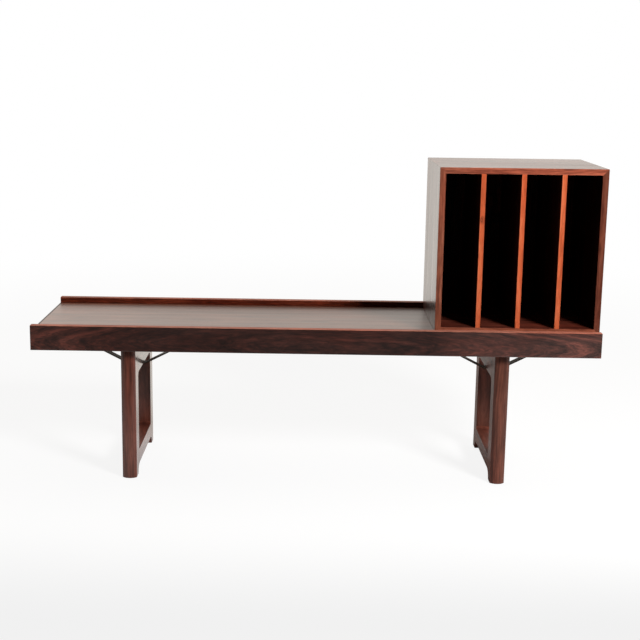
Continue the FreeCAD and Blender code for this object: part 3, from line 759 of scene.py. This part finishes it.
def buildUpperRail(node, name, heart):
    low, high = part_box(node)
    corner = leg["upperCorner"]
    right = [(high.y, high.z)] + cornerArc((high.y - corner, low.z), corner, 0, 90)
    made = easeLong(prism(right + mirrored(right), low.x, high.x), low, high, sharpTop=True)
    underside = low.z + corner
    recessTop = underside + leg["recessDepth"]
    wide = leg["recessRadius"] + leg["recessEase"]
    profile = [(wide, underside - leg["recessPast"]), (wide, underside),
               (leg["recessRadius"], underside + leg["recessEase"]), (leg["recessRadius"], recessTop)]
    centreX = (low.x + high.x) / 2
    tools = [lathe(profile, (centreX, y), 32) for y in (-leg["boltSpacing"] / 2, leg["boltSpacing"] / 2)]
    woods = legWoods[node.split("_")[0]]
    addPiece(name, cutAway(made, tools), "bench", [node], woods, "Y", heart, chooser=broadSide)


def buildLowerRail(node, name, heart):
    low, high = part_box(node)
    corner = leg["lowerCorner"]
    archRadius = leg["floorGap"]
    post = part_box(node.replace("lower_rail", "back_post"))
    archY = post[1].y - leg["footDepth"] - archRadius  # where the foot's quarter arch has its centre
    archEnd = math.degrees(math.acos((high.y - archY) / archRadius))
    arch = cornerArc((archY, 0), archRadius, 90, archEnd, 4)
    right = arch + cornerArc((high.y - corner, high.z), corner, 0, -90)
    made = easeLong(prism(right + mirrored(right), low.x, high.x), low, high)
    woods = legWoods[node.split("_")[0]]
    addPiece(name, made, "bench", [node], woods, "Y", heart, chooser=broadSide)


for number, side in enumerate(("left", "right")):
    buildPost(f"{side}_front_post", f"{side}FrontPost", (0.7 * number, 0.035, 0.05), 20)
    buildPost(f"{side}_back_post", f"{side}BackPost", (2.0 + 0.7 * number, 0.03, 0.04), -35)
    buildUpperRail(f"{side}_upper_rail", f"{side}UpperRail", (4.0 + number, 0.05, 0.03))
    buildLowerRail(f"{side}_lower_rail", f"{side}LowerRail", (6.0 + number, 0.05, 0.03))
print("leg frames built")

# Straps, bent from flat bar, with their slotted screws

strap = {
    "thickness": 3 * mm, "bend": 10 * mm, "ease": 0.5 * mm, "tipRound": 0.4 * mm, "corner": 6 * mm,
    "reach": 155 * mm, "tab": 34 * mm, "screwSpacing": 18 * mm, "screwTurn": (25, 47),
}
screw = {
    "head": 4.25 * mm, "headHeight": 2.4 * mm, "shank": 2 * mm, "length": 20 * mm, "point": 3 * mm,
    "slotWidth": 1.0 * mm, "slotDepth": 1.1 * mm,
}


def buildStrap(side):
    low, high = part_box(f"{side}_brace_strap")
    centreX = (low.x + high.x) / 2
    thick = strap["thickness"]
    underside = low.z + thick  # of the upper rail
    tip = (high.x - low.x) / 2
    highBend = tip - strap["tab"]
    lowBend = highBend - strap["reach"]
    rise = high.z - underside
    shift = thick * (math.hypot(rise, strap["reach"]) - strap["reach"]) / rise
    outer = strap["bend"] + thick

    def outline(reach):
        right = [
            (highBend + shift, high.z - thick, strap["bend"]),
            (reach, high.z - thick, strap["tipRound"]),
            (reach, high.z, strap["tipRound"]),
            (highBend, high.z, outer),
            (lowBend, underside, strap["bend"]),
        ]
        left = [(-u, v, radius) for u, v, radius in reversed(right)]
        lowRight = (lowBend + shift, low.z, outer)
        lowLeft = (-lowBend - shift, low.z, outer)
        return rounded([lowRight, *right, *left, lowLeft], steps=5)

    corner = strap["corner"]
    insets = [corner * (1 - math.cos(math.radians(angle))) for angle in (0, 22.5, 45, 67.5, 90)]
    rings = []
    places = [(inset, low.y + inset) for inset in insets]
    places += [(inset, high.y - inset) for inset in reversed(insets)]
    for inset, y in places:
        reach = tip - corner + math.sqrt(corner ** 2 - (corner - inset) ** 2)
        rings.append([Vector((centreX + u, y, v)) for u, v in outline(reach)])
    made = ease(loft(rings), strap["ease"], sharpest=60)
    addPiece(f"{side}BraceStrap", made, "bench", [f"{side}_brace_strap"], [strapMetal])

    tabMiddle = highBend + strap["tab"] / 2
    spots = []
    for offset in (-strap["screwSpacing"] / 2, strap["screwSpacing"] / 2):
        spots += [(offset, underside), (tabMiddle + offset, high.z), (offset - tabMiddle, high.z)]
    firstTurn, nextTurn = strap["screwTurn"]
    heads = []
    for number, (offset, level) in enumerate(spots):
        heads.append(buildScrew(centreX + offset, level - thick, firstTurn + nextTurn * number))
    addPiece(f"{side}StrapScrews", joined(heads), "bench", [f"{side}_strap_screws"], [screwMetal])


def buildScrew(x, under, turn):
    # a pan head below the strap and a shank up into the wood
    head = screw["head"]
    drop = screw["headHeight"]
    shank = screw["shank"]
    tip = under + screw["length"]
    profile = [(0.35 * head, under - drop), (0.68 * head, under - 0.9 * drop),
               (0.9 * head, under - 0.6 * drop), (head, under - 0.25 * drop), (head, under),
               (shank, under), (shank, tip - screw["point"]), (0.2 * shank, tip)]
    made = lathe(profile, (x, 0))
    halfWidth = screw["slotWidth"] / 2
    slotTop = under - drop + screw["slotDepth"]
    slot = brick((-2 * head, -halfWidth, under - 2 * drop), (2 * head, halfWidth, slotTop))
    place = Matrix.Translation((x, 0, 0)) @ Matrix.Rotation(math.radians(turn), 4, "Z")
    bmesh.ops.transform(slot, matrix=place, verts=slot.verts)
    return cutAway(made, [slot])


# Socket-head bolts in the upper rails

bolt = {
    "head": 6.5 * mm, "headHeight": 8 * mm, "socket": 3 * mm, "socketDepth": 4 * mm, "shank": 4 * mm,
    "chamfer": 0.6 * mm,
}


def buildBolts(side):
    low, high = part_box(f"{side}_leg_bolts")

    def hexagon(angle):
        return bolt["socket"] / math.cos((angle + math.pi / 6) % (math.pi / 3) - math.pi / 6)

    headTop = low.z + bolt["headHeight"]
    chamfer = bolt["chamfer"]
    profile = [(hexagon, low.z + bolt["socketDepth"]), (hexagon, low.z), (bolt["head"] - chamfer, low.z),
               (bolt["head"], low.z + chamfer), (bolt["head"], headTop), (bolt["shank"], headTop),
               (bolt["shank"], high.z - chamfer), (bolt["shank"] - chamfer, high.z)]
    centreX = (low.x + high.x) / 2
    halfSpacing = leg["boltSpacing"] / 2
    made = joined([lathe(profile, (centreX, y)) for y in (-halfSpacing, halfSpacing)])
    addPiece(f"{side}LegBolts", made, "bench", [f"{side}_leg_bolts"], [boltMetal])


for side in ("left", "right"):
    buildStrap(side)
    buildBolts(side)
print("straps, screws and bolts built")

# Box: mitred boards, a back panel in a rebate and three dividers whose ends sit in dadoes

box = {
    "board": 16 * mm, "arris": 1.2 * mm, "frontEase": 0.7 * mm, "rebate": 8 * mm, "dividerEase": 0.8 * mm,
    "dado": 5 * mm, "dadoStop": 12 * mm, "dadoOver": 5 * mm, "dadoPast": 1 * mm, "backEase": 0.4 * mm,
    "frontZone": 0.5 * mm, "faceZone": 2 * mm,
}
boxLow = Vector([min(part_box(n)[0][axis] for n in ("box_bottom", "box_top")) for axis in range(3)])
boxHigh = Vector([max(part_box(n)[1][axis] for n in ("box_bottom", "box_top")) for axis in range(3)])
boxMiddle = (boxLow + boxHigh) / 2
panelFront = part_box("box_back")[0].y
dividerNodes = {
    "divider_left": "leftDivider", "divider_middle": "middleDivider", "divider_right": "rightDivider",
}


def frontShade(face, edge):
    # one lightness for the front edge and one for the rest of the board
    return lambda point: edge if point.y < boxLow.y + box["frontZone"] else face


def buildBoxBoard(node, name, side, heart, shade, innerWood):
    # drawn lying on its outer face, with u along it and v through it, then turned into place
    thickness = box["board"]
    flat = side in ("top", "bottom")
    half = (boxHigh.x - boxLow.x if flat else boxHigh.z - boxLow.z) / 2
    arris = box["arris"]

    def section(depth):
        bend = []
        for angle in (0, 15, 30, 45):
            turn = math.radians(angle)
            bend.append((half - arris + arris * math.sin(turn), arris - arris * math.cos(turn)))
        right = [*bend, (half - depth, depth)]
        return right + mirrored(right)

    def turned(u, v, y):
        spots = {
            "bottom": (boxMiddle.x + u, y, boxLow.z + v),
            "top": (boxMiddle.x - u, y, boxHigh.z - v),
            "left": (boxLow.x + v, y, boxMiddle.z - u),
            "right": (boxHigh.x - v, y, boxMiddle.z + u),
        }
        return Vector(spots[side])

    thin = thickness - box["rebate"]
    steps = [(boxLow.y, thickness), (panelFront, thickness), (panelFront, thin), (boxHigh.y, thin)]
    made = loft([[turned(u, v, y) for u, v in section(depth)] for y, depth in steps])

    def isFront(edge):
        first, second = (vertex.co for vertex in edge.verts)
        level = max(first.y, second.y) < boxLow.y + hair
        run = second - first
        return level and abs(abs(run.x) - abs(run.z)) > 0.2 * run.length  # not along the mitre

    made = ease(made, box["frontEase"], isFront)
    if flat:
        tools = []
        for divider in dividerNodes:
            low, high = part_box(divider)
            if side == "bottom":
                inner = boxLow.z + thickness
                bottom, top = inner - box["dado"], inner + box["dadoOver"]
            else:
                inner = boxHigh.z - thickness
                bottom, top = inner - box["dadoOver"], inner + box["dado"]
            front, rear = low.y + box["dadoStop"], high.y + box["dadoPast"]
            tools.append(brick((low.x, front, bottom), (high.x, rear, top)))
        made = cutAway(made, tools)

    inwards = {"bottom": Vector((0, 0, 1)), "top": Vector((0, 0, -1)), "left": Vector((1, 0, 0)),
               "right": Vector((-1, 0, 0))}[side]

    def whichWood(face):
        if face.normal.y < -0.6 and face.center.y < boxLow.y + box["faceZone"]:
            return 1
        # inner faces take innerWood: the painted shade wood, or the floor wood for the bottom
        return 2 if face.normal.dot(inwards) > 0.9 else 0

    woods = [boxWood, boxEdgeWood, innerWood]
    addPiece(name, made, "box", [node], woods, "X" if flat else "Z", heart, shade=shade,
             chooser=whichWood)


buildBoxBoard("box_bottom", "boxBottom", "bottom", (0.0, 0.02, 0.08), frontShade(1.0, 0.75), boxFloorWood)
buildBoxBoard("box_top", "boxTop", "top", (2.0, -0.04, 0.09), frontShade(1.3, 1.0), shadedInsideWood)
buildBoxBoard("box_left_side", "boxLeftSide", "left", (4.0, 0.09, 0.03), frontShade(1.2, 0.55), shadedInsideWood)
buildBoxBoard("box_right_side", "boxRightSide", "right", (6.0, 0.09, -0.02), frontShade(1.0, 0.34),
              shadedInsideWood)


def buildBoxBack():
    low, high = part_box("box_back")

    def whichWood(face):
        # the back panel's front face takes the painted shade wood
        return 1 if face.normal.y < -0.6 else 0

    made = ease(brick(low, high), box["backEase"])
    addPiece("boxBack", made, "box", ["box_back"], [boxWood, shadedInsideWood], "Z", (8.0, 0.02, 0.09),
             chooser=whichWood)


knot = {
    "height": 717 * mm, "aside": -1.5 * mm, "shape": (0.55, 1, 1), "radius": 3.2 * mm, "push": 0.006,
    "depth": 0.85, "colour": (0.10, 0.022, 0.012),
}


def buildDivider(node, name, heart, knotted):
    low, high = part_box(node)
    floor = low.z + box["dado"]
    ceiling = high.z - box["dado"]
    tongue = low.y + box["dadoStop"]
    outline = [(low.y, floor), (tongue, floor), (tongue, low.z), (high.y, low.z), (high.y, high.z),
               (tongue, high.z), (tongue, ceiling), (low.y, ceiling)]

    def isFront(edge):
        first, second = (vertex.co for vertex in edge.verts)
        return max(first.y, second.y) < low.y + hair and abs(first.x - second.x) < hair

    made = ease(prism(outline, low.x, high.x), box["dividerEase"], isFront)

    def whichWood(face):
        return 1 if face.normal.y < -0.6 and face.center.y < low.y + box["faceZone"] else 0

    look = dict(dividerEdgeLook)
    if knotted:
        middle = (low + high) / 2
        spot = Vector((middle.x + knot["aside"], low.y, knot["height"])) - middle
        look["knot"] = dict(knot, place=grainTurns["Z"] @ spot + Vector(heart))
    edgeWood = rosewood(f"{name}EdgeRosewood", look)
    # the divider's sides take the painted shade wood
    addPiece(name, made, "box", [node], [shadedInsideWood, edgeWood], "Z", heart, chooser=whichWood)


buildBoxBack()
for number, (node, name) in enumerate(dividerNodes.items()):
    buildDivider(node, name, (10.0 + number, 0.03, 0.06), number == 0)
print("box built")

# What stays inside the wood keeps its solid and gets a finish

hiddenFinishes = {
    "bearer_dowels": dowelWood, "left_leg_dowels": dowelWood, "right_leg_dowels": dowelWood,
    "box_corner_splines": dowelWood, "left_bolt_inserts": insertMetal, "right_bolt_inserts": insertMetal,
}
for node, material in hiddenFinishes.items():
    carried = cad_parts[node]
    for place in carried.material_slots:
        place.material = material
print("hidden solids finished:", len(hiddenFinishes))

# Camera, at the photograph's viewing angle

photo = {"width": 640, "focalPixels": 1150.0, "centreX": 295.7, "centreY": 291.0}
view = {"place": (-18.8 * mm, -3134.5 * mm, 1102.3 * mm), "yaw": -0.662, "pitch": 11.013, "roll": 0.695}


def addCamera():
    yaw, pitch, roll = (math.radians(view[key]) for key in ("yaw", "pitch", "roll"))
    forward = Vector((math.sin(yaw) * math.cos(pitch), math.cos(yaw) * math.cos(pitch), -math.sin(pitch)))
    right = Vector((math.cos(yaw), -math.sin(yaw), 0))
    up = right.cross(forward)
    rolledRight = right * math.cos(roll) + up * math.sin(roll)
    rolledUp = up * math.cos(roll) - right * math.sin(roll)
    camera = bpy.data.cameras.new("camera")
    camera.sensor_width = 36
    camera.lens = camera.sensor_width * photo["focalPixels"] / photo["width"]
    camera.shift_x = (photo["width"] / 2 - photo["centreX"]) / photo["width"]
    camera.shift_y = (photo["centreY"] - photo["width"] / 2) / photo["width"]
    holder = bpy.data.objects.new("camera", camera)
    turn = Matrix((rolledRight, rolledUp, -forward)).transposed()
    holder.matrix_world = Matrix.Translation(view["place"]) @ turn.to_4x4()
    bpy.context.scene.collection.objects.link(holder)
    bpy.context.scene.camera = holder


addCamera()

# Studio: a floor that is pale behind the object and dark in front of it, a white backdrop behind, a dark
# room in front, and a softbox from the front right

studio = {
    "floorSize": 60.0, "floorPale": (0.86, 0.86, 0.86), "floorDark": (0.05, 0.05, 0.05), "floorWhite": 0.87,
    "floorFade": (1.2, 4.0), "pale": (-1.0, -0.45), "mirrored": (0.1, 0.7), "dimAside": (-0.05, 0.2),
    "dimBehind": (1.6, 3.6), "mirroredShadowDepth": 0.85,  # the floor behind the right leg mirrors less in it
    "front": 0.03, "back": 0.95, "backColour": (1.0, 0.935, 0.865), "backTurn": (-0.35, 0.25),
    "keyPower": 150.0, "keySize": 0.75, "keyDistance": 3.4, "keyTurn": 37.5, "keyLift": 30,
}


def buildFloor():
    material, s = newMaterial("studioFloor")
    camera = s.node("ShaderNodeLightPath", {}, out="Is Camera Ray")
    place = s.node("ShaderNodeTexCoord", {}, out="Object")
    away = s.node("ShaderNodeSeparateXYZ", {}, {0: place}, out="Y")
    reach = s.vectorMaths("LENGTH", place, (0, 0, 0), out="Value")
    white = studio["floorWhite"]
    far = reach.between(*studio["floorFade"])
    # a painted shadow on the floor behind the right leg, seen only in reflections
    shadowBehindRightLeg = away.other("X").between(*studio["dimAside"]) * (1 - away.between(*studio["dimBehind"]))
    mirrored = camera.other("Is Glossy Ray") * away.between(*studio["mirrored"])
    mirrored = mirrored * (1 - shadowBehindRightLeg * studio["mirroredShadowDepth"])
    seen = (camera + camera.other("Is Transmission Ray") + mirrored) * (far * (1 - white) + white)
    pale = away.between(*studio["pale"])
    colour = s.mix(pale, studio["floorDark"], studio["floorPale"])
    ground = s.node("ShaderNodeBsdfDiffuse", {}, {"Color": colour})
    glow = s.node("ShaderNodeEmission", {}, {"Color": s.mix(camera, studio["backColour"], (1, 1, 1))})
    mixed = s.node("ShaderNodeMixShader", {}, {0: seen.clamped(), 1: ground, 2: glow})
    s.node("ShaderNodeOutputMaterial", {}, {"Surface": mixed})
    made = bmesh.new()
    bmesh.ops.create_grid(made, x_segments=1, y_segments=1, size=studio["floorSize"] / 2)
    mesh = asMesh(made, "studioFloor")
    mesh.materials.append(material)
    floor = bpy.data.objects.new("studioFloor", mesh)
    bpy.context.scene.collection.objects.link(floor)


def buildSurround():
    world = bpy.data.worlds.new("studio")
    bpy.context.scene.world = world
    world.use_nodes = True
    s = Shader(world.node_tree)
    camera = s.node("ShaderNodeLightPath", {}, out="Is Camera Ray")
    direction = s.node("ShaderNodeTexCoord", {}, out="Generated")
    behind = s.node("ShaderNodeSeparateXYZ", {}, {0: direction}, out="Y").between(*studio["backTurn"])
    seen = (camera + camera.other("Is Transmission Ray")).clamped()
    strength = behind * (studio["back"] - studio["front"]) + studio["front"]
    strength = seen + (1 - seen) * strength
    colour = s.mix(seen, studio["backColour"], (1, 1, 1))
    light = s.node("ShaderNodeBackground", {}, {"Color": colour, "Strength": strength})
    s.node("ShaderNodeOutputWorld", {}, {"Surface": light})


def addSoftbox(name, power, size, distance, turn, lift, target=(0.1, 0, 0.45)):
    lamp = bpy.data.lights.new(name, "AREA")
    lamp.shape = "SQUARE"
    lamp.size = size
    lamp.energy = power
    turn, lift = math.radians(turn), math.radians(lift)
    towards = Vector((math.sin(turn) * math.cos(lift), -math.cos(turn) * math.cos(lift), math.sin(lift)))
    holder = bpy.data.objects.new(name, lamp)
    holder.location = Vector(target) + towards * distance
    holder.rotation_euler = towards.to_track_quat("Z", "Y").to_euler()
    holder.visible_glossy = False  # satin tops would glare white towards the lamp
    bpy.context.scene.collection.objects.link(holder)


buildFloor()
buildSurround()
addSoftbox("keySoftbox", studio["keyPower"], studio["keySize"], studio["keyDistance"], studio["keyTurn"],
           studio["keyLift"])
bpy.context.scene.view_settings.view_transform = "Standard"
print("studio set")
